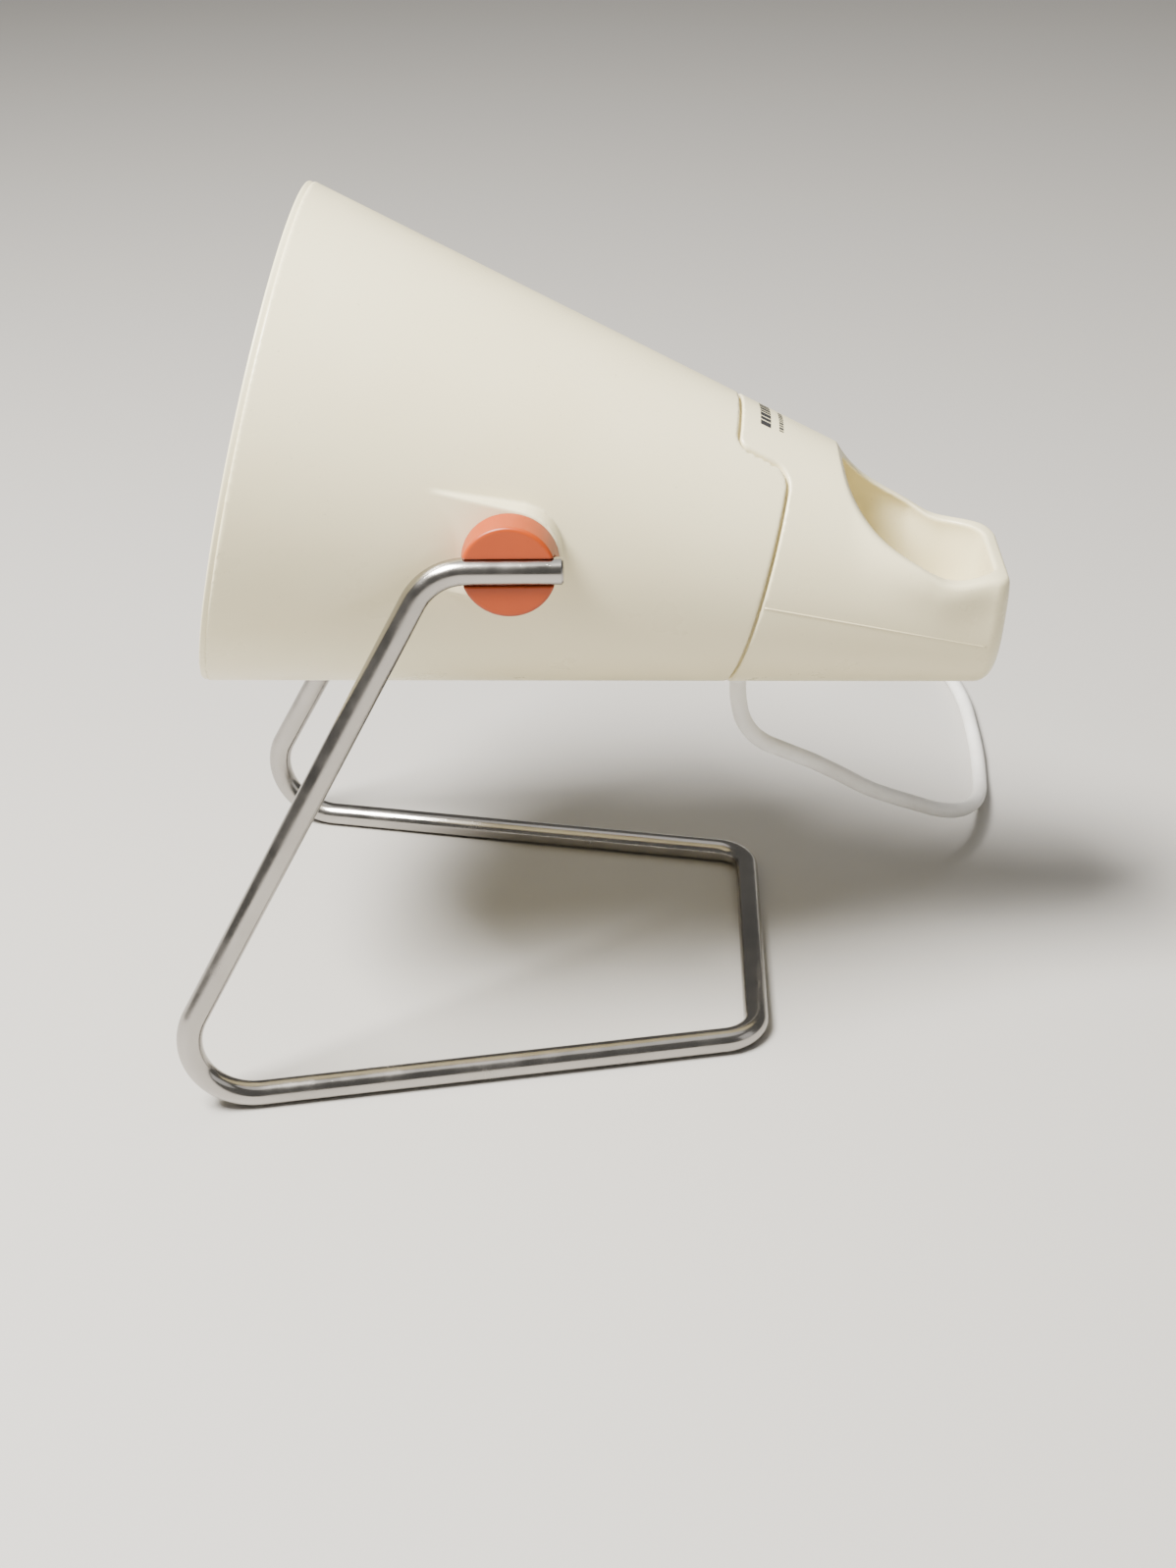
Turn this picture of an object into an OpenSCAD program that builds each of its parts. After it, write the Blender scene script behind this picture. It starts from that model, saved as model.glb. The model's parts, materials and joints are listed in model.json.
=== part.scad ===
// Infrared heat lamp on a bent-rod stand.
// The lamp head is a cone that opens forward (-X) and ends in a scooped hand grip (+X).
// It tilts between two pivot discs that sit on the ends of one bent steel rod.
// +Z is up, the table is z = 0, and the origin is the centre of the lamp's footprint box.

/* [Stand] */
// Diameter of the steel rod
rod_d = 7; // [6:0.5:8]
// Height of the tilting axis above the table
pivot_height = 151; // [140:1:160]
// Half distance between the rod's two upper ends, centre to centre
rod_top_half = 62.4; // [62.2:0.1:63.2]
// Half distance between the two front bends on the table
rod_front_half = 83.6; // [80:0.2:95]
// Half distance between the two rear corners
rod_rear_half = 51.2; // [46:0.2:56]
// How far the rod's upper end reaches behind the tilting axis
rod_tail = 13.7; // [13:0.1:16]
// Position of the upper bend, ahead of the tilting axis
top_bend_x = -19.7; // [-22:0.1:-18]
// Position of the front bend on the table
front_bend_x = -102.4; // [-108:0.2:-98]
// Position of the crossbar
rear_corner_x = 63.9; // [58:0.1:70]
// Centreline radius of the upper bends
top_bend_r = 15.7; // [13:0.1:17]
// Centreline radius of the front bends
front_bend_r = 17.8; // [14:0.1:20]
// Centreline radius of the rear corners
rear_corner_r = 11; // [9:0.5:14]

/* [Head] */
// Upward tilt of the lamp head as it stands
head_tilt = 14.6; // [10:0.1:20]
// Half angle of the head's cone
cone_angle = 12.7; // [12:0.1:13]
// Radius of the cone at the tilting axis
pivot_r = 51.9; // [51:0.1:52.5]
// How far the cone's axis runs below the tilting axis
axis_drop = 4.3; // [3:0.1:5]
// Distance from the tilting axis forward to the rim
rim_ahead = 72.2; // [68:0.2:76]
// Distance from the tilting axis back to the seam
seam_behind = 66.8; // [66:0.1:68]
// Distance from the tilting axis back to the middle of the grip's end face
grip_end = 135.3; // [132:0.1:138]
// Lean of the grip's end face, whose foot reaches furthest back
grip_end_lean = 9.7; // [6:0.1:12]
// Wall of the shade
shade_wall = 2.2; // [2:0.1:2.6]
// Wall of the rear housing
housing_wall = 2.5; // [2.2:0.1:2.8]
// Gap along the seam between shade and rear housing
seam_gap = 0.6; // [0.4:0.1:0.9]
// Front edge of the housing's tongue, behind the tilting axis
tongue_front = 51.6; // [50:0.2:54]
// Half width of the tongue
tongue_half = 19.4; // [17:0.2:21]

/* [Grip] */
// Height of the scooped edge above the cone's axis
scoop_h = 13.2; // [10:0.2:15]
// Front edge of the scoop, behind the tilting axis
scoop_front = 79.5; // [78:0.2:82]
// Length over which the scoop falls to its full depth
scoop_fall = 38.5; // [30:0.5:42]
// Height over which the scoop falls
scoop_drop = 27; // [24:0.5:29]
// Depth of the finger pocket's floor below the cone's axis
pocket_floor = 11; // [8:0.5:12]
// Thickness of the grip's end wall
grip_end_wall = 4; // [3.5:0.5:6]

/* [Pivots] */
// Radius of a pivot disc at its face
disc_face_r = 11.9; // [11.5:0.1:12.2]
// Radius of a pivot disc at its base
disc_base_r = 12.3; // [12.2:0.1:12.6]
// Distance of a disc's face from the middle plane
disc_face_y = 63.8; // [63.5:0.1:64.2]
// Distance of a boss's flat face from the middle plane
boss_face_y = 54.6; // [54.4:0.1:55]
// Radius of a boss's round end
boss_r = 12.9; // [12.8:0.1:13.4]

/* [Lamp] */
// Diameter of the reflector bulb
bulb_d = 121; // [118:0.5:122]
// Distance of the bulb's front rim ahead of the tilting axis
bulb_front = 56; // [55:0.5:57]

/* [Mains cord] */
// Diameter of the cord
cord_d = 4.8; // [4.6:0.1:5]

/* [Hidden] */

cream = [0.93, 0.91, 0.80];
orange = [0.88, 0.33, 0.15];
steel = [0.72, 0.71, 0.68];
brass = [0.80, 0.65, 0.35];
porcelain = [0.95, 0.94, 0.91];
cord_white = [0.90, 0.90, 0.86];
fine = 180;
medium = 72;
small = 40;
rod_r = rod_d / 2;
// A bend is a hair fatter than the straights, so each straight ends inside it
bend_r = rod_r + 0.02;
bend_lap = 0.2;
cord_r = cord_d / 2;
slope = tan(cone_angle);
// Wall thickness measured square to the axis is larger than the wall itself
square_to_axis = 1 / cos(cone_angle);

// The rod's corner points, from the near end round to the far end, with x from the tilting axis
half_route = [[rod_tail, rod_top_half, pivot_height],
              [top_bend_x, rod_top_half, pivot_height],
              [front_bend_x, rod_front_half, bend_r],
              [rear_corner_x, rod_rear_half, bend_r]];
rod_bends = [0, top_bend_r, front_bend_r, rear_corner_r, rear_corner_r, front_bend_r, top_bend_r, 0];

function unit(v) = v / norm(v);
function cone_r(x) = pivot_r - slope * x;
function mirror_y(p) = [p[0], -p[1], p[2]];
// The grip's end face at a height above the cone's axis
function end_x(h) = grip_end - tan(grip_end_lean) * h;

// The tilting axis sits so that the object is centred over the origin in x
front_u = unit(half_route[1] - half_route[2]);
front_v = unit(half_route[3] - half_route[2]);
front_half_angle = acos(front_u * front_v) / 2;
front_centre = half_route[2] + unit(front_u + front_v) * front_bend_r / sin(front_half_angle);
front_plane = unit(cross(front_u, front_v));
x_front = front_centre[0] - front_bend_r * sqrt(1 - pow(front_plane[0], 2)) - bend_r;
x_rear = end_x(scoop_h) * cos(head_tilt) + (scoop_h - axis_drop) * sin(head_tilt);
pivot_x = -(x_front + x_rear) / 2;

rod_route = [for (p = half_route) mirror_y(p) + [pivot_x, 0, 0],
             for (i = [3:-1:0]) half_route[i] + [pivot_x, 0, 0]];

// Stations along the head's axis, and sizes of the inner parts
flange_front = 60;
flange_back = 62.5;
flange_hole_r = 25.6;
bracket_front = 62.7;
bracket_back = 64.2;
post_front = 64.4;
post_ring_r = 29;
post_r = 4.1;
screw_angles = [20, 160, 215, 325];
screw_r = 1.6;
screw_hole_r = 1.7;
holder_r = 19.8;
holder_front = 40;
holder_back = 76;
collar_r = 24.4;
holder_screw_ring = 22.2;
cap_r = 13.1;
cap_front = 46;
cap_back = 67;

// Stations across the pivot, measured from the middle plane
boss_inner_y = 46;
boss_inner_r = 9.6;
stub_r = 6;
stub_bore_r = 6.06;
disc_gap = 0.15;
washer_outer_y = 45.1;
washer_inner_y = 44;

// Where the cord leaves the housing, measured from the tilting axis
gland_x = 59;
gland_top = 101.5;
gland_mid = 95;
gland_tip = 91;
gland_top_r = 4.5;
gland_tip_r = 3.2;
gland_hole_r = 4.6;

// The cord's free route from the gland to the coil, with x from the tilting axis
cord_route = [[59, 0, 90.95], [59, 0, 88.4], [59.1, 0.1, 85.6], [59.5, 0.4, 82.4], [60.1, 1, 79.2],
              [61.2, 2, 75.9], [62.8, 3.4, 72.6], [64.9, 5.3, 69.4], [68, 8.1, 65.9], [72.4, 12.1, 61.9],
              [77.5, 16.7, 57.3], [82.8, 21.4, 52.6], [91.6, 29.4, 43.9], [99.6, 36.2, 36],
              [106.2, 41.5, 30.4], [115.6, 46.8, 24.4], [124.7, 53.2, 18.2], [132.6, 62.2, 12.7],
              [139.1, 74.8, 8], [143.3, 89, 4.4], [145.4, 105, 2.4], [146.6, 122, 2.4],
              [147, 142, 2.4], [146.7, 161, 2.4], [144.2, 181, 2.4], [139.5, 201, 2.4],
              [135.5, 217, 2.4]];
// The coil's turns lie four abreast in two layers
coil_x = 96;
coil_y = 227;
coil_mean_r = 28.5;
coil_half = 2 * cord_d + 0.05;
coil_top = 2 * cord_d + 0.05;
tie_angle = 300;
tie_width = 5;
plug_x = 42;
plug_y = 262.6;

// Places its children in the head's own axes: x back along the cone's axis, z up, y across
module head_space() {
    translate([pivot_x, 0, pivot_height])
        rotate([0, head_tilt, 0])
            translate([0, 0, -axis_drop])
                children();
}

// Places its children with x from the tilting axis, upright
module axis_space() {
    translate([pivot_x, 0, 0])
        children();
}

// A solid slice of the head's cone between two stations, thinner by inset all round
module cone_band(from, to, inset = 0) {
    translate([from, 0, 0])
        rotate([0, 90, 0])
            cylinder(h = to - from, r1 = cone_r(from) - inset, r2 = cone_r(to) - inset, $fn = fine);
}

// A disc or ring along the head's axis
module axis_disc(from, to, r, fn = medium) {
    translate([from, 0, 0])
        rotate([0, 90, 0])
            cylinder(h = to - from, r = r, $fn = fn);
}

// A cylinder across the head at the tilting axis, on one side
module pivot_pin(side, from, to, r1, r2, fn = medium) {
    translate([0, side * from, axis_drop])
        rotate([-90 * side, 0, 0])
            cylinder(h = to - from, r1 = r1, r2 = r2, $fn = fn);
}

// A tube swept along smoothed points
function blend_point(a, b, c, d, t) =
    0.5 * ((2 * b) + (c - a) * t + (2 * a - 5 * b + 4 * c - d) * t * t
           + (3 * b - a - 3 * c + d) * t * t * t);
function smooth_route(pts, steps) =
    let (last = len(pts) - 1)
    [for (i = [0:last - 1])
        for (s = [0:steps - 1])
            blend_point(pts[max(i - 1, 0)], pts[i], pts[i + 1], pts[min(i + 2, last)], s / steps),
     pts[last]];
function route_ring(path, i, r, sides, aside) =
    let (ahead = path[min(i + 1, len(path) - 1)],
         behind = path[max(i - 1, 0)],
         along = unit(ahead - behind),
         across = unit(cross(along, aside)),
         up = cross(across, along))
    [for (k = [0:sides - 1])
        path[i] + r * (cos(360 * k / sides) * across + sin(360 * k / sides) * up)];
module swept_tube(pts, r, sides, steps, aside) {
    path = smooth_route(pts, steps);
    last = len(path) - 1;
    rings = [for (i = [0:last]) for (p = route_ring(path, i, r, sides, aside)) p];
    walls = [for (i = [0:last - 1]) for (k = [0:sides - 1])
                let (a = i * sides + k, b = i * sides + (k + 1) % sides)
                each [[a, b, b + sides], [a, b + sides, a + sides]]];
    first_end = [for (k = [sides - 1:-1:0]) k];
    last_end = [for (k = [0:sides - 1]) last * sides + k];
    polyhedron(points = rings, faces = concat(walls, [first_end, last_end]), convexity = 6);
}

// --- Stand ---

// A straight length of rod between two points
module rod_straight(a, b) {
    d = b - a;
    translate(a)
        rotate([0, acos(d[2] / norm(d)), atan2(d[1], d[0])])
            cylinder(h = norm(d), r = rod_r, $fn = medium);
}

// The distance from a corner point to where its bend starts
function corner_reach(a, b, c, r) =
    r == 0 ? 0 : r / tan(acos(unit(a - b) * unit(c - b)) / 2);

// A bend of the rod round a corner point
module rod_bend(a, b, c, r) {
    u = unit(a - b);
    v = unit(c - b);
    half = acos(u * v) / 2;
    centre = b + unit(u + v) * r / sin(half);
    start = unit(b + u * r / tan(half) - centre);
    axis = unit(cross(start, b + v * r / tan(half) - centre));
    side = cross(axis, start);
    multmatrix([[start[0], side[0], axis[0], centre[0]],
                [start[1], side[1], axis[1], centre[1]],
                [start[2], side[2], axis[2], centre[2]],
                [0, 0, 0, 1]])
        rotate_extrude(angle = 180 - 2 * half, $fn = fine)
            translate([r, 0])
                circle(r = bend_r, $fn = medium);
}

module stand_rod() {
    last = len(rod_route) - 1;
    reach = [for (i = [0:last])
                i == 0 || i == last ? 0
                : corner_reach(rod_route[i - 1], rod_route[i], rod_route[i + 1], rod_bends[i])];
    color(steel)
        union() {
            for (i = [0:last - 1]) {
                along = unit(rod_route[i + 1] - rod_route[i]);
                from = i == 0 ? 0 : reach[i] - bend_lap;
                to = i == last - 1 ? 0 : reach[i + 1] - bend_lap;
                rod_straight(rod_route[i] + along * from, rod_route[i + 1] - along * to);
            }
            for (i = [1:last - 1])
                rod_bend(rod_route[i - 1], rod_route[i], rod_route[i + 1], rod_bends[i]);
        }
}

// --- Pivots ---

// A pivot disc with its stub, its screw bore and the groove that holds the rod
module pivot_disc(side) {
    groove_r = rod_r + 0.05;
    color(orange)
        difference() {
            head_space()
                difference() {
                    union() {
                        pivot_pin(side, boss_face_y + disc_gap, disc_face_y, disc_base_r, disc_face_r);
                        pivot_pin(side, washer_outer_y + 0.05, boss_face_y + 1, stub_r, stub_r);
                    }
                    pivot_pin(side, washer_outer_y - 1, 57, 2.05, 2.05, small);
                }
            axis_space()
                translate([-20, side * rod_top_half, pivot_height])
                    rotate([0, 90, 0])
                        union() {
                            cylinder(h = 40, r = groove_r, $fn = medium);
                            translate([-groove_r, side > 0 ? 0 : -10, 0])
                                cube([2 * groove_r, 10, 40]);
                        }
        }
}
module pivot_disc_left() { pivot_disc(-1); }
module pivot_disc_right() { pivot_disc(1); }

module pivot_screws() {
    color(steel)
        head_space()
            for (side = [-1, 1])
                difference() {
                    union() {
                        pivot_pin(side, washer_inner_y - 2.6, washer_inner_y - 0.05, 3.6, 4, small);
                        pivot_pin(side, washer_inner_y - 0.1, 56.5, 2, 2, small);
                    }
                    translate([0, side * (washer_inner_y - 2.6), axis_drop])
                        cube([5.4, 1.8, 1], center = true);
                }
}

module pivot_washers() {
    color(steel)
        head_space()
            for (side = [-1, 1])
                difference() {
                    pivot_pin(side, washer_inner_y, washer_outer_y, 9, 9);
                    pivot_pin(side, washer_inner_y - 1, washer_outer_y + 1, 2.1, 2.1, small);
                }
}

// Springy washers that press on the boss and hold the head at its angle
module friction_washers() {
    color([0.45, 0.45, 0.47])
        head_space()
            for (side = [-1, 1])
                difference() {
                    pivot_pin(side, washer_outer_y + 0.05, boss_inner_y - 0.05, 9, 8.2);
                    pivot_pin(side, washer_outer_y - 1, boss_inner_y + 1, 6.3, 6.3);
                }
}

// --- Shade ---

// The raised pad under a pivot disc: round behind, running forward until the cone covers it
module boss_pad(side) {
    intersection() {
        translate([0, side > 0 ? 40 : -boss_face_y, axis_drop])
            rotate([-90, 0, 0])
                linear_extrude(boss_face_y - 40)
                    union() {
                        circle(r = boss_r, $fn = fine);
                        translate([-34, 0.02 - boss_r])
                            square([34, 2 * boss_r - 0.04]);
                    }
        axis_disc(-34, 20, cone_r(-34) + 1, fine);
    }
}

// The notch in the shade that the housing's tongue fills
module tongue_notch(half, front) {
    translate([front, -half, 20])
        cube([30, 2 * half, 40]);
}

// The inner ring that the housing screws pull back against, open under the tongue
module shade_flange() {
    difference() {
        cone_band(flange_front, flange_back, 1);
        axis_disc(flange_front - 1, flange_back + 1, flange_hole_r);
        tongue_notch(tongue_half + 4, tongue_front - 1);
        for (a = screw_angles)
            rotate([a - 90, 0, 0])
                translate([0, 0, post_ring_r])
                    axis_disc(flange_front - 1, flange_back + 1, screw_hole_r + 0.2, small);
    }
}

module shade() {
    color(cream)
        head_space()
            union() {
                difference() {
                    union() {
                        difference() {
                            union() {
                                cone_band(-rim_ahead, seam_behind - seam_gap / 2);
                                boss_pad(1);
                                boss_pad(-1);
                            }
                            cone_band(-rim_ahead - 1, seam_behind + 1, shade_wall * square_to_axis);
                        }
                        for (side = [-1, 1])
                            pivot_pin(side, boss_inner_y, boss_face_y - 3, boss_inner_r, boss_inner_r);
                    }
                    for (side = [-1, 1])
                        pivot_pin(side, boss_inner_y - 1, boss_face_y + 1, stub_bore_r, stub_bore_r);
                    tongue_notch(tongue_half + seam_gap, tongue_front - seam_gap / 2);
                }
                shade_flange();
            }
}

// --- Rear housing ---

// The scoop's edge seen from the side: a quarter ellipse, then level to the grip's end
function scoop_edge(steps, push) =
    [for (i = [0:steps])
        let (a = 90 * i / steps)
        [scoop_front + scoop_fall - (scoop_fall + push) * cos(a),
         scoop_h + scoop_drop - (scoop_drop + push) * sin(a)]];

// The finger pocket seen from the side, grown by push on every wall
function pocket_side(push) =
    concat([for (i = [0:10])
               let (k = i / 10)
               [scoop_front + 1.5 - push + 15 * k * k, 36 - (36 + pocket_floor + push) * k]],
           [[end_x(-pocket_floor) - grip_end_wall + push, -pocket_floor - push],
            [end_x(36) - grip_end_wall + push, 36]]);

module side_extrude(points) {
    translate([0, 40, 0])
        rotate([90, 0, 0])
            linear_extrude(80)
                polygon(points);
}

module finger_pocket(push) {
    plan_r = 15;
    plan_end = end_x(scoop_h) - grip_end_wall + push;
    intersection() {
        side_extrude(pocket_side(push));
        cone_band(scoop_front - 10, grip_end, housing_wall * square_to_axis + 0.4 - push);
        translate([0, 0, -40])
            linear_extrude(80)
                hull() {
                    translate([scoop_front - 10, -40])
                        square([10, 80]);
                    for (side = [-1, 1])
                        translate([plan_end - plan_r, side * 4])
                            circle(r = plan_r, $fn = 64);
                }
    }
}

// The housing's outer form, cut off square to the lean of its end face
module housing_form() {
    difference() {
        cone_band(seam_behind + seam_gap / 2, grip_end + 6);
        translate([grip_end, -40, 0])
            rotate([0, -grip_end_lean, 0])
                translate([0, 0, -60])
                    cube([30, 80, 120]);
    }
}

module rear_housing() {
    inner = housing_wall * square_to_axis;
    lap = shade_wall * square_to_axis + 0.25;
    color(cream)
        head_space()
            difference() {
                union() {
                    difference() {
                        union() {
                            housing_form();
                            cone_band(flange_back + 0.6, seam_behind + 2, lap);
                            intersection() {
                                cone_band(tongue_front, seam_behind + 2);
                                tongue_notch(tongue_half, tongue_front);
                            }
                            intersection() {
                                cone_band(tongue_front + 0.6, seam_behind + 2, lap);
                                tongue_notch(tongue_half + 3, tongue_front + 0.6);
                            }
                        }
                        difference() {
                            union() {
                                cone_band(seam_behind, grip_end - grip_end_wall, inner);
                                cone_band(tongue_front - 1, seam_behind + 1, lap + 1.6);
                            }
                            finger_pocket(housing_wall);
                        }
                    }
                    for (a = screw_angles)
                        rotate([a - 90, 0, 0])
                            intersection() {
                                translate([0, 0, post_ring_r])
                                    axis_disc(post_front, 84, post_r, small);
                                cone_band(post_front, 84, 1);
                            }
                }
                finger_pocket(0);
                side_extrude(concat(scoop_edge(24, 0), [[grip_end + 5, scoop_h], [grip_end + 5, 60],
                                                        [scoop_front, 60]]));
                for (a = screw_angles)
                    rotate([a - 90, 0, 0])
                        translate([0, 0, post_ring_r])
                            axis_disc(post_front - 1, 78, screw_r, small);
                rotate([0, -head_tilt, 0])
                    translate([gland_x + axis_drop * sin(head_tilt), 0, -70])
                        cylinder(h = 36, r = gland_hole_r, $fn = small);
            }
}

// --- Inside the head ---

module holder_bracket() {
    color(steel)
        head_space()
            difference() {
                axis_disc(bracket_front, bracket_back, 33);
                axis_disc(bracket_front - 1, bracket_back + 1, holder_r + 0.3);
                for (a = screw_angles)
                    rotate([a - 90, 0, 0])
                        translate([0, 0, post_ring_r])
                            axis_disc(bracket_front - 1, bracket_back + 1, screw_hole_r + 0.2, small);
                for (side = [-1, 1])
                    translate([0, side * holder_screw_ring, 0])
                        axis_disc(bracket_front - 1, bracket_back + 1, 1.45, small);
                tongue_notch(tongue_half + 4, tongue_front);
                translate([bracket_front - 1, -25, 31.4])
                    cube([10, 50, 10]);
            }
}

// Long screws that clamp shade, bracket and rear housing together
module housing_screws() {
    color(steel)
        head_space()
            for (a = screw_angles)
                rotate([a - 90, 0, 0])
                    translate([0, 0, post_ring_r])
                        difference() {
                            union() {
                                axis_disc(flange_front - 2.6, flange_front - 0.05, 3.2, small);
                                axis_disc(flange_front - 0.1, 77, screw_r - 0.05, small);
                            }
                            translate([flange_front - 2.6, 0, 0])
                                cube([1.8, 4.6, 0.9], center = true);
                        }
}

module lampholder_body() {
    color(porcelain)
        head_space()
            difference() {
                union() {
                    axis_disc(holder_front, holder_back, holder_r);
                    axis_disc(bracket_back + 0.05, bracket_back + 3.2, collar_r);
                }
                axis_disc(holder_front - 1, cap_back + 3.5, cap_r + 1.4);
                for (side = [-1, 1]) {
                    translate([0, side * holder_screw_ring, 0])
                        axis_disc(bracket_back - 1, bracket_back + 4, 1.6, small);
                    translate([0, side * 9, 0])
                        axis_disc(cap_back, holder_back + 1, 1.6, small);
                }
            }
}

// The screw shell that the bulb's cap turns into
module lampholder_shell() {
    color(brass)
        head_space()
            difference() {
                axis_disc(cap_front - 3, cap_back + 1, cap_r + 1.2);
                axis_disc(cap_front - 4, cap_back + 2, cap_r + 0.5);
            }
}

module centre_contact() {
    color(brass)
        head_space()
            axis_disc(cap_back + 2.65, cap_back + 3.45, 5, small);
}

module holder_screws() {
    color(steel)
        head_space()
            for (side = [-1, 1])
                translate([0, side * holder_screw_ring, 0])
                    union() {
                        axis_disc(bracket_back + 3.25, bracket_back + 5, 2.1, small);
                        axis_disc(bracket_front - 1, bracket_back + 3.3, 1.4, small);
                    }
}

module terminal_screws() {
    color(brass)
        head_space()
            for (side = [-1, 1])
                translate([0, side * 9, 0])
                    union() {
                        axis_disc(holder_back + 0.05, holder_back + 2.2, 3, small);
                        axis_disc(holder_back - 6, holder_back + 0.1, 1.5, small);
                    }
}

// --- Bulb ---

// The bulb's outline from its neck to its front rim
bulb_neck_r = 17.5;
bulb_neck = 36;
bulb_skirt = 4.5;
bulb_throat = 39.5;
function bowl_r(k) = bulb_neck_r + (bulb_d / 2 - bulb_neck_r) * pow(k, 0.82);
function bowl_points(inset) =
    [for (i = [0:14])
        let (k = i / 14)
        [bowl_r(k) - inset, bulb_neck - 14 - k * (bulb_neck - 14 + bulb_front - bulb_skirt)]];

module bulb_reflector() {
    color([0.80, 0.80, 0.82])
        head_space()
            rotate([0, 90, 0])
                rotate_extrude($fn = fine)
                    polygon(concat([[cap_r - 2.1, cap_front - 1.05], [cap_r - 0.1, cap_front - 1.05],
                                    [cap_r - 0.1, bulb_throat], [bulb_neck_r, bulb_neck]],
                                   bowl_points(0),
                                   [[bulb_d / 2, -bulb_front + 0.05], [bulb_d / 2 - 2, -bulb_front + 0.05]],
                                   [for (i = [14:-1:0]) bowl_points(2.2)[i]],
                                   [[bulb_neck_r - 2.2, bulb_neck], [cap_r - 2.1, bulb_throat]]));
}

// The domed front glass
module bulb_lens() {
    dome_r = 190;
    rim = bulb_d / 2 - 0.3;
    rise = dome_r - sqrt(pow(dome_r, 2) - pow(rim, 2));
    color([0.70, 0.06, 0.05])
        head_space()
            rotate([0, 90, 0])
                rotate_extrude($fn = fine)
                    polygon(concat([[0, -bulb_front], [rim, -bulb_front]],
                                   [for (i = [12:-1:0])
                                       let (r = rim * i / 12)
                                       [r, -bulb_front - 1 - rise + dome_r
                                           - sqrt(pow(dome_r, 2) - pow(r, 2))]]));
}

module bulb_cap() {
    color(brass)
        head_space()
            union() {
                axis_disc(cap_front - 1, cap_back - 4, cap_r);
                translate([cap_back - 4, 0, 0])
                    rotate([0, 90, 0])
                        cylinder(h = 4, r1 = cap_r, r2 = 6.2, $fn = medium);
            }
}

module bulb_tip() {
    color([0.25, 0.24, 0.24])
        head_space()
            union() {
                axis_disc(cap_back + 0.02, cap_back + 1.4, 5.4, small);
                axis_disc(cap_back + 1.3, cap_back + 2.6, 3.2, small);
            }
}

// Two support leads and the coiled filament between them
module filament() {
    color([0.6, 0.6, 0.6])
        head_space()
            union() {
                for (side = [-1, 1])
                    translate([0, side * 9, 0])
                        axis_disc(-2, 30, 0.8, 16);
                translate([0, -9, 0])
                    rotate([-90, 0, 0])
                        cylinder(h = 18, r = 1.3, $fn = 16);
                translate([30, -10, -1])
                    cube([6, 20, 2]);
            }
}

// --- Wiring and cord entry ---

// An insulated wire from the cord's end round the lampholder to its terminal
module inner_wire(side, shade_of) {
    color(shade_of)
        axis_space()
            swept_tube([[59, side * 1.3, 105], [61, side * 2.2, 106.4], [65, side * 4, 105.8],
                        [70, side * 6.5, 107.7], [72.6, side * 8, 114.2], [73.4, side * 9, 120.5],
                        [73.5, side * 9, 124.1]],
                       1.1, 8, 3, [0.2, 1, 0.1]);
}
module live_wire() { inner_wire(-1, [0.45, 0.25, 0.15]); }
module neutral_wire() { inner_wire(1, [0.15, 0.25, 0.60]); }

// The end of the cord's sheath, held inside the housing
module cord_end() {
    color(cord_white)
        axis_space()
            translate([gland_x, 0, gland_top + 0.02])
                cylinder(h = 3, r = cord_r, $fn = small);
}

module cord_clamp() {
    color([0.85, 0.85, 0.80])
        axis_space()
            difference() {
                translate([gland_x - 2.5, -9, gland_top + 0.2])
                    cube([5, 18, 2.6]);
                translate([gland_x, 0, gland_top - 1])
                    cylinder(h = 6, r = cord_r + 0.05, $fn = small);
                for (side = [-1, 1])
                    translate([gland_x, side * 6, gland_top - 1])
                        cylinder(h = 6, r = 1.3, $fn = small);
            }
}

module clamp_screws() {
    color(steel)
        axis_space()
            for (side = [-1, 1])
                translate([gland_x, side * 6, 0])
                    union() {
                        translate([0, 0, gland_top + 2.85])
                            cylinder(h = 1.3, r = 2.2, $fn = small);
                        translate([0, 0, gland_top - 4])
                            cylinder(h = 7, r = 1.25, $fn = small);
                    }
}

// The bush round the cord, flush with the underside of the housing
module strain_relief() {
    color(cord_white)
        axis_space()
            translate([gland_x, 0, 0])
                union() {
                    translate([0, 0, gland_mid])
                        cylinder(h = gland_top - gland_mid, r = gland_top_r, $fn = medium);
                    translate([0, 0, gland_tip])
                        cylinder(h = gland_mid - gland_tip, r1 = gland_tip_r, r2 = gland_top_r, $fn = medium);
                }
}

module mains_cord() {
    color(cord_white)
        axis_space()
            swept_tube(cord_route, cord_r, 10, 2, [0.6, -0.6, 0.5]);
}

// --- Coiled length and plug ---

module cord_coil() {
    color(cord_white)
        axis_space()
            translate([coil_x, coil_y, 0])
                rotate_extrude($fn = medium)
                    translate([coil_mean_r - coil_half, 0])
                        square([2 * coil_half, coil_top]);
}

// A flat tie over the turns, down to the table on both sides
module cord_tie() {
    gap = 0.15;
    wall = 0.5;
    color([0.2, 0.2, 0.2])
        axis_space()
            translate([coil_x, coil_y, 0])
                rotate([0, 0, tie_angle])
                    translate([coil_mean_r - coil_half - gap - wall, -tie_width / 2, 0])
                        difference() {
                            cube([2 * (coil_half + gap + wall), tie_width, coil_top + gap + wall]);
                            translate([wall, -1, -1])
                                cube([2 * (coil_half + gap), tie_width + 2, coil_top + gap + 1]);
                        }
}

// The plug lies flat where the last turn leaves the coil
plug_h = 13;
module plug_body() {
    color([0.88, 0.88, 0.84])
        axis_space()
            translate([plug_x, plug_y, 0])
                hull() {
                    translate([-11, -16, 1])
                        cube([2, 32, plug_h - 2]);
                    translate([-10, -14.5, 0])
                        cube([8, 29, plug_h]);
                    translate([14, -6, 1])
                        cube([6, 12, plug_h - 2]);
                }
}

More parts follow.
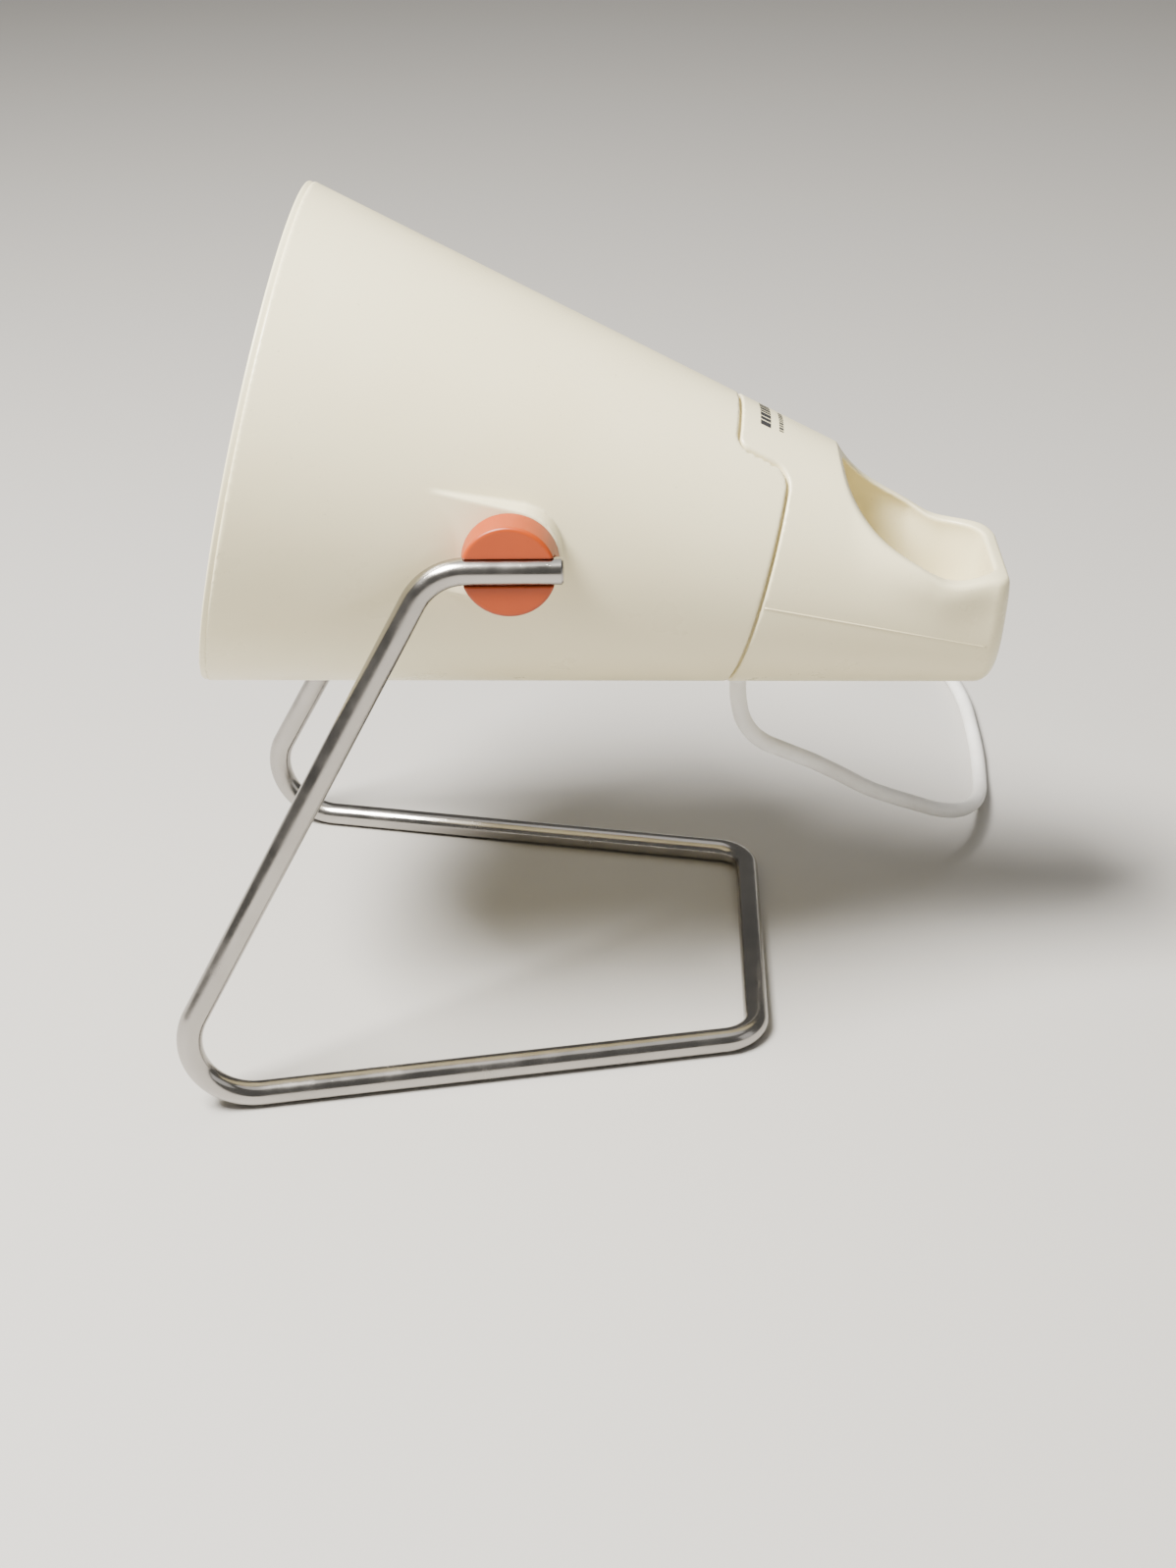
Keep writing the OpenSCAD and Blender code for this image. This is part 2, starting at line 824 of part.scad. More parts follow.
module plug_sleeve() {
    color([0.88, 0.88, 0.84])
        axis_space()
            translate([plug_x + 20.05, plug_y, plug_h / 2])
                rotate([0, 90, 0])
                    cylinder(h = 18, r1 = 4.6, r2 = 3, $fn = small);
}

module plug_pins() {
    pin_r = 2;
    pin_spacing = 19;
    pin_l = 19;
    color(steel)
        axis_space()
            for (side = [-1, 1])
                translate([plug_x - 11.05 - pin_l, plug_y + side * pin_spacing / 2, plug_h / 2])
                    rotate([0, 90, 0])
                        cylinder(h = pin_l, r = pin_r, $fn = small);
}

stand_rod();
pivot_disc_left();
pivot_disc_right();
pivot_screws();
pivot_washers();
friction_washers();
shade();
rear_housing();
holder_bracket();
housing_screws();
lampholder_body();
lampholder_shell();
centre_contact();
holder_screws();
terminal_screws();
bulb_reflector();
bulb_lens();
bulb_cap();
bulb_tip();
filament();
live_wire();
neutral_wire();
cord_clamp();
clamp_screws();
cord_end();
strain_relief();
mains_cord();
cord_coil();
cord_tie();
plug_body();
plug_sleeve();
plug_pins();
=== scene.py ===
import json
import math

import bpy
import numpy as np
from mathutils import Matrix, Vector


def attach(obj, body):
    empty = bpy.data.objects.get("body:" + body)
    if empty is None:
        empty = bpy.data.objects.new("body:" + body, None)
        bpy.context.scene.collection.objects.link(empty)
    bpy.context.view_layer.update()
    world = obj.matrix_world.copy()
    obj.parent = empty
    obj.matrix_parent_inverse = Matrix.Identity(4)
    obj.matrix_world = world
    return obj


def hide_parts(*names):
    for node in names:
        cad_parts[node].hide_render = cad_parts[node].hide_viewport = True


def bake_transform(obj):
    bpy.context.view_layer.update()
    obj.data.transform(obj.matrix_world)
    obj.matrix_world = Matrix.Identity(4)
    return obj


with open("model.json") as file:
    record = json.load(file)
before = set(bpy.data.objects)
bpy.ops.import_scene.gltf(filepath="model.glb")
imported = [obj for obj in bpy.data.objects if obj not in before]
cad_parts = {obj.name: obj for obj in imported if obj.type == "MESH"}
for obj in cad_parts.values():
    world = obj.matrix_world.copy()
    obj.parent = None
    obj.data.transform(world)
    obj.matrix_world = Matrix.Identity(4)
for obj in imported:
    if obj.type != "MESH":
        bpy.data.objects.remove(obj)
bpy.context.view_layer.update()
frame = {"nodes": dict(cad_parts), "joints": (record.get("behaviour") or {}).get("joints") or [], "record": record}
nodes = frame["nodes"]


# --- Sizes in millimetres, in the frame of the model ---

hinge = frame["joints"][0]
PIVOT_X = hinge["pos_m"][0] * 1000
PIVOT_Z = hinge["pos_m"][2] * 1000
TILT = math.radians(14.6)
AXIS_DROP = 4.3

# The cone that the shade and the housing share: its radius at the tilting axis, and its slope
CONE_ANGLE = math.radians(12.7)
CONE_SLOPE = math.tan(CONE_ANGLE)
CONE_COS = math.cos(CONE_ANGLE)
PIVOT_R = 51.9

# Shade: along the cone's axis from the tilting axis, and for the bosses across from the middle
RIM = -72.2
SHADE_WALL = 2.2
BOSS_R = 12.9
BOSS_FACE = 54.6
BOSS_SLEEVE_R = 9.6
BOSS_SLEEVE_END = 46
BOSS_ROOT = 40
BORE_R = 6.1
FLANGE_MIDDLE = 61.25
FLANGE_THICK = 2.5
FLANGE_INNER_R = 25.6
FLANGE_GAP_BASE = 20
BULB_FRONT = -56
LENS_RISE = 10.7
LENS_DOME_R = 190
LENS_EDGE_R = 56.5

# Seam and rear housing
SEAM = 66.8
SEAM_GAP = 0.9
TONGUE_FRONT = 51.6
TONGUE_HALF = 19.4
TONGUE_BASE = 15
LAP_HALF = 1.6
LAP_TOP, LAP_BOTTOM = 2.1, 3.6
HOUSING_WALL = 2.5
SCOOP_FRONT = 79.5
GRIP_END = 135.3
GRIP_ANGLE = math.radians(9.7)
GRIP_LEAN = math.tan(GRIP_ANGLE)
GRIP_LIP = 3.0
GRIP_BACK = 4.0

# The cord's bush and its hole: back from the tilting axis, and the bush's top above the table
GLAND_X = 59
GLAND_TOP = 101.5
GLAND_HOLE_R = 4.6

# Pivot discs, across from the middle of the lamp
DISC_R = 12.3
DISC_TAPER = 0.044
DISC_BACK = 54.75
DISC_FACE = 63.8
STUB_R = 6
STUB_END = 45.2
STUB_ROOT = 56
SCREW_R = 2.05
SCREW_DEPTH = 57

# Stand and cord
ROD_R = 3.5
ROD_TOP_Y = 62.4
ROD_GAP = 0.12
CORD_D = 4.8

# A field value well inside the solid, where a cut does not apply
NO_CUT = -9

# The head's own axes: x back along the cone's axis, y across, z up
HEAD = (Matrix.Translation((PIVOT_X, 0, PIVOT_Z)) @ Matrix.Rotation(TILT, 4, "Y")
        @ Matrix.Translation((0, 0, -AXIS_DROP)))
# The stand's own axes: upright, with x from the tilting axis and z from the table
UPRIGHT = Matrix.Translation((PIVOT_X, 0, 0))


# --- Camera ---

def add_camera():
    data = bpy.data.cameras.new("camera")
    data.sensor_fit = "VERTICAL"
    data.sensor_height = 36
    data.lens = 51.04
    yaw, pitch, roll = -0.042, -0.5, 0.024
    ahead = Vector((math.sin(yaw) * math.cos(pitch), math.cos(yaw) * math.cos(pitch), math.sin(pitch)))
    right = Vector((math.cos(yaw), -math.sin(yaw), 0))
    down = ahead.cross(right)
    turned_right = right * math.cos(roll) + down * math.sin(roll)
    turned_up = right * math.sin(roll) - down * math.cos(roll)
    camera = bpy.data.objects.new("camera", data)
    turn = Matrix((turned_right, turned_up, -ahead)).transposed().to_4x4()
    place = Vector((PIVOT_X + 39.66, -568.2, PIVOT_Z + 216.57)) / 1000
    camera.matrix_world = Matrix.Translation(place) @ turn
    bpy.context.collection.objects.link(camera)
    bpy.context.scene.camera = camera


add_camera()


# --- Mesh helpers ---

def new_mesh(name, verts_mm, faces, place=UPRIGHT, smooth=True):
    """A mesh object from vertices in millimetres in the given axes."""
    verts = np.asarray(verts_mm, float)
    turn = np.array(place.to_3x3())
    verts = (verts @ turn.T + np.array(place.translation)) / 1000
    mesh = bpy.data.meshes.new(name)
    mesh.from_pydata(verts.tolist(), [], [list(f) for f in faces])
    mesh.update()
    obj = bpy.data.objects.new(name, mesh)
    bpy.context.collection.objects.link(obj)
    if smooth:
        mesh.shade_smooth()
    return obj


def sharpen(obj, degrees):
    """Smooth shading that breaks at edges sharper than the given angle."""
    obj.data.set_sharp_from_angle(angle=math.radians(degrees))


def tube(path, radius, sides=24):
    """Vertices and faces of a round tube along a path; radius is a number or one per point."""
    path = np.asarray(path, float)
    count = len(path)
    radii = np.broadcast_to(np.asarray(radius, float), (count,))
    along = np.gradient(path, axis=0)
    along /= np.linalg.norm(along, axis=1)[:, None]
    across = np.cross(along[0], [0.21, 0.35, 0.91])
    verts = []
    for i in range(count):
        across = across - along[i] * across.dot(along[i])
        across /= np.linalg.norm(across)
        up = np.cross(along[i], across)
        turn = np.linspace(0, 2 * np.pi, sides, endpoint=False)[:, None]
        verts.append(path[i] + radii[i] * (np.cos(turn) * across + np.sin(turn) * up))
    faces = []
    for i in range(count - 1):
        for k in range(sides):
            a, b = i * sides + k, i * sides + (k + 1) % sides
            faces.append((a, b, b + sides, a + sides))
    faces.append(tuple(range(sides - 1, -1, -1)))
    faces.append(tuple((count - 1) * sides + k for k in range(sides)))
    return np.concatenate(verts), faces


def lathe(profile, sides=96):
    """A closed turned form about the x axis from a closed outline of (x, radius) points."""
    turn = np.linspace(0, 2 * np.pi, sides, endpoint=False)
    verts = [(x, r * math.cos(a), r * math.sin(a)) for a in turn for x, r in profile]
    count = len(profile)
    faces = []
    for s in range(sides):
        for i in range(count):
            j = (i + 1) % count
            n = (s + 1) % sides
            faces.append((s * count + i, s * count + j, n * count + j, n * count + i))
    return np.array(verts), faces


def rounded_profile(points, radius, steps=5):
    """An outline with its corners rounded: points are (x, r), radius is a number or one per point."""
    count = len(points)
    radii = np.broadcast_to(np.asarray(radius, float), (count,))
    out = []
    for i in range(count):
        p, a, b = (np.array(points[j % count], float) for j in (i, i - 1, i + 1))
        u, v = a - p, b - p
        lu, lv = np.linalg.norm(u), np.linalg.norm(v)
        u, v = u / lu, v / lv
        half = math.acos(max(-1, min(1, u.dot(v)))) / 2
        reach = min(radii[i] / math.tan(half), 0.48 * lu, 0.48 * lv)
        if reach < 1e-6:
            out.append(tuple(p))
            continue
        start, end = p + u * reach, p + v * reach
        for s in range(steps + 1):
            k = s / steps
            out.append(tuple((1 - k) ** 2 * start + 2 * k * (1 - k) * p + k ** 2 * end))
    return out


def round_max(a, b, r):
    """Where two shapes overlap, with their shared edge rounded to radius r."""
    u, v = np.maximum(a + r, 0), np.maximum(b + r, 0)
    return np.minimum(np.maximum(a, b), -r) + np.hypot(u, v)


def round_min(a, b, r):
    """Two shapes joined, with the inner corner between them rounded to radius r."""
    return -round_max(-a, -b, r)


def mixed_cells(inside):
    """The grid cells that the surface passes through, and each cell's vertex number or -1."""
    nx, ny, nz = (n - 1 for n in inside.shape)
    corners = sum(inside[i:i + nx, j:j + ny, k:k + nz].astype(np.int8)
                  for i in (0, 1) for j in (0, 1) for k in (0, 1))
    mixed = (corners > 0) & (corners < 8)
    index = np.full(mixed.shape, -1, np.int64)
    index[mixed] = np.arange(mixed.sum())
    return np.argwhere(mixed), index


def crossing_means(values, cells):
    """For each cell, the mean of the points where its edges cross the surface, in grid steps."""
    total = np.zeros((len(cells), 3))
    hits = np.zeros(len(cells))
    for axis in range(3):
        others = [k for k in range(3) if k != axis]
        for p in (0, 1):
            for q in (0, 1):
                start = np.zeros(3, int)
                start[others[0]], start[others[1]] = p, q
                near = cells + start
                far = near.copy()
                far[:, axis] += 1
                at_near, at_far = values[tuple(near.T)], values[tuple(far.T)]
                cross = (at_near < 0) != (at_far < 0)
                k = np.where(cross, at_near / np.where(cross, at_near - at_far, 1), 0)
                point = near.astype(float)
                point[:, axis] += k
                total[cross] += point[cross]
                hits += cross
    return total / hits[:, None]


def surface_quads(inside, index):
    """One outward quad round each grid edge that the surface cuts."""
    quads = []
    for axis in range(3):
        b, c = (axis + 1) % 3, (axis + 2) % 3
        fore = [slice(None)] * 3
        aft = [slice(None)] * 3
        fore[axis], aft[axis] = slice(0, -1), slice(1, None)
        flips = np.argwhere(inside[tuple(fore)] != inside[tuple(aft)])
        ok = (flips[:, b] > 0) & (flips[:, c] > 0)
        ok &= (flips[:, b] < index.shape[b]) & (flips[:, c] < index.shape[c])
        flips = flips[ok]
        around = []
        for db, dc in ((-1, -1), (0, -1), (0, 0), (-1, 0)):
            cell = flips.copy()
            cell[:, b] += db
            cell[:, c] += dc
            around.append(index[tuple(cell.T)])
        quad = np.stack(around, axis=1)
        outward = inside[tuple(flips.T)]
        quad[~outward] = quad[~outward][:, ::-1]
        quads.append(quad)
    return np.concatenate(quads)


def settle(field, verts, step, passes=4):
    """The vertices after each has slid onto the surface along the field's slope."""
    e = 0.02
    for _ in range(passes):
        x, y, z = verts.T
        value = field(x, y, z)
        slope = np.stack([field(x + e, y, z) - field(x - e, y, z),
                          field(x, y + e, z) - field(x, y - e, z),
                          field(x, y, z + e) - field(x, y, z - e)], axis=1) / (2 * e)
        size = np.maximum((slope ** 2).sum(axis=1), 0.2)
        move = -(value / size)[:, None] * slope
        reach = np.linalg.norm(move, axis=1)
        move *= np.minimum(1, 0.4 * step / np.maximum(reach, 1e-9))[:, None]
        verts = verts + move
    return verts


def contour(field, low, high, step, mirrored=True):
    """A closed quad mesh where field(x, y, z) is zero. Mirrored fields are even in y."""
    xs = np.arange(low[0], high[0] + step, step)
    zs = np.arange(low[2], high[2] + step, step)
    half = np.arange(step / 2, high[1] + step, step)
    ys = np.concatenate([-half[::-1], half]) if mirrored else np.arange(low[1], high[1] + step, step)
    sampled = half if mirrored else ys
    values = np.stack([field(x, sampled[:, None], zs[None, :]).astype(np.float32) for x in xs])
    if mirrored:
        values = np.concatenate([values[:, ::-1], values], axis=1)
    inside = values < 0
    cells, index = mixed_cells(inside)
    corner = np.array([xs[0], ys[0], zs[0]])
    verts = corner + crossing_means(values, cells) * step
    return settle(field, verts, step), surface_quads(inside, index)


def replace(obj, slot, body, *replaced):
    """A finished piece: its material slot, which is not used, the body it rides on and the CAD nodes it stands
    for.
    """
    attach(obj, body)
    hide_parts(*replaced)


# --- Mains cord, coil and plug ---

CORD_ROUTE = [(59, 0, 93.5), (59, 0, 90.95), (59, 0, 88.4), (59.1, 0.1, 85.6), (59.5, 0.4, 82.4),
              (60.1, 1, 79.2), (61.2, 2, 75.9), (62.8, 3.4, 72.6), (64.9, 5.3, 69.4), (68, 8.1, 65.9),
              (72.4, 12.1, 61.9), (77.5, 16.7, 57.3), (82.8, 21.4, 52.6), (91.6, 29.4, 43.9),
              (99.6, 36.2, 36), (106.2, 41.5, 30.4), (115.6, 46.8, 24.4), (124.7, 53.2, 18.2),
              (132.6, 62.2, 12.7), (139.1, 74.8, 8), (143.3, 89, 4.4), (145.4, 105, 2.4),
              (146.6, 122, 2.4), (147, 142, 2.4), (146.7, 161, 2.4), (144.2, 181, 2.4),
              (139.5, 201, 2.4), (135.5, 217, 2.4)]
STEPS_A_SPAN = 6
COIL_X, COIL_Y = 96, 227
COIL_INNER, COIL_OUTER = 21.3, 35.7
LAYER_LOW, LAYER_HIGH = CORD_D / 2, 1.5 * CORD_D
COIL_START = 10
COIL_STEPS = 48
TURNS_A_LAYER = 4
SHIFT_FROM = 0.4
PLUG_X, PLUG_Y, PLUG_H = 42, 262.6, 13
PLUG_FACE, PLUG_BACK = -11, 20
SLEEVE_MOUTH = 36.5
PIN_R, PIN_TIP, PIN_HALF_GAP = 2, -30.05, 9.5
TIE_ANGLE, TIE_R, TIE_HALF = 300, 28.5, 2.5


def smooth_route(points, steps):
    """The same smooth curve through the points as the model's own tube follows."""
    p = np.array(points, float)
    last = len(p) - 1
    out = []
    for i in range(last):
        a, b, c, d = p[max(i - 1, 0)], p[i], p[i + 1], p[min(i + 2, last)]
        for s in range(steps):
            t = s / steps
            out.append(0.5 * (2 * b + (c - a) * t + (2 * a - 5 * b + 4 * c - d) * t * t
                              + (3 * b - a - 3 * c + d) * t ** 3))
    out.append(p[last])
    return np.array(out)


def ease(k):
    """A soft step from 0 to 1."""
    k = np.clip(k, 0, 1)
    return k * k * (3 - 2 * k)


def coil_points():
    """Four turns inward on the table, then outward on top of them, each easing over to the next."""
    out = []
    end_turn = 2 * TURNS_A_LAYER - 1 + (90 - COIL_START) / 360
    for s in range(1, int(end_turn * COIL_STEPS) + 1):
        turns = s / COIL_STEPS
        whole = int(turns)
        shift = ease((turns - whole - SHIFT_FROM) / (1 - SHIFT_FROM))
        if whole < TURNS_A_LAYER:
            inner = whole == TURNS_A_LAYER - 1
            r = COIL_OUTER - CORD_D * (whole + (0 if inner else shift))
            z = LAYER_LOW + (CORD_D * shift if inner else 0)
        else:
            r = COIL_INNER + CORD_D * (whole - TURNS_A_LAYER + shift)
            z = LAYER_HIGH
        angle = math.radians(COIL_START + 360 * turns)
        out.append((COIL_X + r * math.cos(angle), COIL_Y + r * math.sin(angle), z))
    return out


def cord_path():
    """The whole cord: the free route, the join to the coil, the coil and the way into the plug."""
    free = smooth_route(CORD_ROUTE, STEPS_A_SPAN)
    start = math.radians(COIL_START)
    entry = (COIL_X + COIL_OUTER * math.cos(start), COIL_Y + COIL_OUTER * math.sin(start), LAYER_LOW)
    join = smooth_route([CORD_ROUTE[-2], CORD_ROUTE[-1], entry, coil_points()[3]], 5)[6:11]
    to_plug = [(88, PLUG_Y + 0.1, 7), (PLUG_X + SLEEVE_MOUTH, PLUG_Y, PLUG_H / 2)]
    return np.concatenate([free, join, coil_points(), to_plug])


def add_cord():
    path = cord_path()
    verts, faces = tube(path, CORD_D / 2, 16)
    cord = new_mesh("cord", verts, faces)
    length = float(np.linalg.norm(np.diff(path, axis=0), axis=1).sum()) / 1000
    placed = [tuple((np.array(p) + (PIVOT_X, 0, 0)) / 1000) for p in path]
    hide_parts("mains_cord", "cord_coil")
    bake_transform(cord)
    return cord, placed, length


def plug_field(x, y, z):
    """A flat plug body, narrower towards the cord, with soft edges and a finger hollow on each face."""
    half = 14.6 - 0.33 * np.clip(x + 2, 0, 40)
    side = np.abs(y) - half
    ends = np.maximum(PLUG_FACE - x, x - PLUG_BACK)
    flat = round_max(side, ends, 3.5)
    hollow = 11.2 - np.sqrt((x - 5) ** 2 * 0.35 + y ** 2 * 0.5 + (np.abs(z) - 15.4) ** 2)
    return round_max(round_max(flat, np.abs(z) - PLUG_H / 2, 1.8), hollow, 1.0)


def sleeve_outline():
    """The ribbed sleeve from the back of the plug to the cord, as (x, radius)."""
    start, end = PLUG_BACK + 0.1, 38
    outline = [(start, 0.01), (start, 4.5)]
    for k in range(6):
        x, r = 22 + 2.4 * k, 4.4 - 0.2 * k
        outline += [(x, r), (x + 0.2, r - 0.9), (x + 1.0, r - 0.95), (x + 1.2, r - 0.15)]
    bore = CORD_D / 2 + 0.05
    return outline + [(end, 3), (end, bore), (20.6, bore), (20.6, 0.01)]


def add_plug():
    place = Matrix.Translation((PIVOT_X + PLUG_X, PLUG_Y, PLUG_H / 2))
    verts, faces = contour(plug_field, (-12, 0, -7.5), (21, 16, 7.5), 0.5)
    body = new_mesh("plug_shell", verts, faces, place)
    replace(body, "pale_plastic", "stand", "plug_body")
    verts, faces = lathe(rounded_profile(sleeve_outline(), 0.2, 3), 48)
    sleeve = new_mesh("plug_sleeve_ribbed", verts, faces, place)
    sharpen(sleeve, 40)
    replace(sleeve, "pale_plastic", "stand", "plug_sleeve")
    pin = [(PLUG_FACE, 0.01), (PLUG_FACE, PIN_R), (PIN_TIP + 0.65, PIN_R), (PIN_TIP, 1.3), (PIN_TIP, 0.01)]
    verts, faces = lathe(rounded_profile(pin, [0, 0, 0.6, 0.5, 0], 3), 40)
    both = np.concatenate([verts + (0, side * PIN_HALF_GAP, 0) for side in (-1, 1)])
    both_faces = faces + [tuple(i + len(verts) for i in f) for f in faces]
    pins = new_mesh("plug_pins_turned", both, both_faces, place)
    sharpen(pins, 40)
    replace(pins, "pin_metal", "stand", "plug_pins")
    return body, sleeve, pins


cord, cord_placed, cord_length = add_cord()
plug_pieces = add_plug()


def tie_field(x, y, z):
    """A flat band over the turns, open below, with rounded corners."""
    half, top = 2 * CORD_D + 0.15, 2 * CORD_D + 0.2
    outer = round_max(np.abs(x) - half - 0.5, z - top - 0.5, 1.4)
    inner = round_max(np.abs(x) - half, z - top, 0.9)
    band = np.maximum(outer, -inner)
    return round_max(np.maximum(band, -z), np.abs(y) - TIE_HALF, 0.15)


def add_tie():
    turn = Matrix.Rotation(math.radians(TIE_ANGLE), 4, "Z")
    place = Matrix.Translation((PIVOT_X + COIL_X, COIL_Y, 0)) @ turn @ Matrix.Translation((TIE_R, 0, 0))
    verts, faces = contour(tie_field, (-12, 0, -0.5), (12, 3.2, 11.5), 0.25)
    tie = new_mesh("cord_tie_band", verts, faces, place)
    replace(tie, "dark_insulation", "stand", "cord_tie")
    return tie


tie = add_tie()


def add_strain_relief():
    """The smooth bush round the cord, flush with the underside of the housing."""
    outline = [(0, 0.01), (0, 4.5), (6.5, 4.5), (10.5, 3.2), (10.5, 0.01)]
    verts, faces = lathe(rounded_profile(outline, 0.4, 4), 64)
    down = Matrix.Translation((PIVOT_X + GLAND_X, 0, GLAND_TOP)) @ Matrix.Rotation(math.radians(90), 4, "Y")
    relief = new_mesh("strain_relief_bush", verts, faces, down)
    sharpen(relief, 40)
    replace(relief, "cord_plastic", "head", "strain_relief")
    return relief


relief = add_strain_relief()


# --- Stand ---

def bent_path(corners, radii, step_deg=4):
    """A route of straights joined by arcs."""
    corners = [np.array(c, float) for c in corners]
    out = [corners[0]]
    for i in range(1, len(corners) - 1):
        a, b, c = corners[i - 1:i + 2]
        u, v = (a - b) / np.linalg.norm(a - b), (c - b) / np.linalg.norm(c - b)
        half = math.acos(u.dot(v)) / 2
        middle = (u + v) / np.linalg.norm(u + v)
        centre = b + middle * radii[i] / math.sin(half)
        start = b + u * radii[i] / math.tan(half) - centre
        axis = np.cross(start, b + v * radii[i] / math.tan(half) - centre)
        axis /= np.linalg.norm(axis)
        bend = math.pi - 2 * half
        count = max(4, int(math.degrees(bend) / step_deg))
        for s in range(count + 1):
            angle = bend * s / count
            out.append(centre + start * math.cos(angle) + np.cross(axis, start) * math.sin(angle))
    out.append(corners[-1])
    return np.array(out)


def add_rod():
    lying = ROD_R + 0.02
    near = [(13.7, -ROD_TOP_Y, PIVOT_Z), (-19.7, -ROD_TOP_Y, PIVOT_Z), (-102.4, -83.6, lying),
            (63.9, -51.2, lying)]
    far = [(x, -y, z) for x, y, z in reversed(near)]
    radii = [0, 15.7, 17.8, 11, 11, 17.8, 15.7, 0]
    path = bent_path(near + far, radii)
    dense = []
    for a, b in zip(path[:-1], path[1:]):
        pieces = max(1, int(np.linalg.norm(b - a) / 6))
        dense += [a + (b - a) * k / pieces for k in range(pieces)]
    dense = np.array(dense + [path[-1]])
    into, back = dense[1] - dense[0], dense[-2] - dense[-1]
    into, back = into / np.linalg.norm(into), back / np.linalg.norm(back)
    start, end = dense[0], dense[-1]
    first = [start, start + into * 0.02, start + into * 0.5, start + into * 0.6]
    final = [end + back * 0.6, end + back * 0.5, end + back * 0.02, end]
    dense = np.concatenate([first, dense[1:-1], final])
    radius = np.full(len(dense), ROD_R)
    radius[0] = radius[-1] = ROD_R - 0.55
    radius[1] = radius[-2] = ROD_R - 0.45
    verts, faces = tube(dense, radius, 64)
    rod = new_mesh("bent_rod", verts, faces)
    sharpen(rod, 35)
    replace(rod, "rod_steel", "stand", "stand_rod")
    return rod


def disc_field(x, y, z):
    """One pivot disc about the tilting axis, with the groove that takes the rod; y runs outward."""
    across = np.hypot(x, z)
    edge = across - (DISC_R - DISC_TAPER * (y - DISC_BACK))
    disc = round_max(round_max(edge, y - DISC_FACE, 0.8), DISC_BACK - y, 0.3)
    groove = np.where(y > ROD_TOP_Y, np.abs(z), np.hypot(y - ROD_TOP_Y, z)) - ROD_R - ROD_GAP
    disc = round_max(disc, -groove, 0.35)
    stub = round_max(across - STUB_R, STUB_END - y, 0.4)
    body = round_min(disc, np.maximum(stub, y - STUB_ROOT), 0.4)
    return np.maximum(body, np.where(y > SCREW_DEPTH, NO_CUT, SCREW_R - across))


def add_discs():
    verts, faces = contour(disc_field, (-13, 44.5, -13), (13, 64.5, 13), 0.33, mirrored=False)
    place = Matrix.Translation((PIVOT_X, 0, PIVOT_Z))
    discs = []
    for side, node in ((-1, "pivot_disc_left"), (1, "pivot_disc_right")):
        placed = verts * (1, side, 1)
        turned = faces if side > 0 else faces[:, ::-1]
        disc = new_mesh(node + "_moulded", placed, turned, place)
        replace(disc, "orange_plastic", "stand", node)
        discs.append(disc)
    return discs


# --- Head ---

def cone(x, y, z):
    """Distance out from the cone's outer skin."""
    return (np.hypot(y, z) - PIVOT_R + CONE_SLOPE * x) * CONE_COS


def seam_region(x, y, z, gap):
    """Below zero on the rear housing's side of the seam, which steps forward round the tongue."""
    tongue = round_max(TONGUE_FRONT - x, np.abs(y) - TONGUE_HALF, 3)
    tongue = np.maximum(tongue, TONGUE_BASE - z)
    return round_min(SEAM - x, tongue, 4.5) + gap


def shade_field(x, y, z):
    """The shade's wall with a raised boss and a bore on each side and a flange at the back."""
    across = np.where(x > 0, np.hypot(x, z - AXIS_DROP), np.abs(z - AXIS_DROP)) - BOSS_R
    boss = round_max(across, np.abs(y) - BOSS_FACE, 0.35)
    boss = np.maximum(boss, BOSS_ROOT - np.abs(y))
    skin = round_min(cone(x, y, z), boss, 0.3)
    shell = np.maximum(skin, -(cone(x, y, z) + SHADE_WALL))
    from_pivot = np.hypot(x, z - AXIS_DROP)
    sleeve = np.maximum(from_pivot - BOSS_SLEEVE_R, BOSS_SLEEVE_END - np.abs(y))
    shell = round_min(shell, np.maximum(sleeve, cone(x, y, z) + 1), 1.2)
    shell = np.maximum(shell, BORE_R - from_pivot)
    flange = np.maximum(np.abs(x - FLANGE_MIDDLE) - FLANGE_THICK / 2, cone(x, y, z) + 1)
    flange = np.maximum(flange, FLANGE_INNER_R - np.hypot(y, z))
    flange = np.maximum(flange, -np.maximum(np.abs(y) - (TONGUE_HALF + 4), FLANGE_GAP_BASE - z))
    shell = np.minimum(shell, flange)
    shell = round_max(shell, RIM + 1.5 - x, 0.5)
    return round_max(shell, -seam_region(x, y, z, -SEAM_GAP / 2), 0.35)


def rim_ring():
    """The thin lip that finishes the rim, set in a hair from the cone's skin."""
    r = PIVOT_R - CONE_SLOPE * RIM
    depth = 2.4
    back = RIM + depth
    outline = [(RIM, r - 0.35), (back, r - 0.35 - depth * CONE_SLOPE),
               (back, r - 2.0 - depth * CONE_SLOPE), (RIM, r - 2.1)]
    return lathe(rounded_profile(outline, 0.6, 5), 360)


def scoop_height(x):
    """Height of the scooped edge above the cone's axis."""
    k = np.maximum(x - SCOOP_FRONT, -4)
    height = 4 + 6 * np.exp(-k / 4) + 26 * np.exp(-k / 30)
    return height + 5.5 * ease((x - 113) / 18) + 1.1 * ease((x - 92) / 16)


def lip_flare(x, z):
    """How far the lip of the scoop stands out from the cone, most over the middle of the grip."""
    along = 3.7 * ease((x - 84) / 26) * (1 - 0.25 * ease((x - 118) / 16))
    return along * np.exp(-(np.minimum(z - scoop_height(x) + 1.0, 0) / 7.5) ** 2)


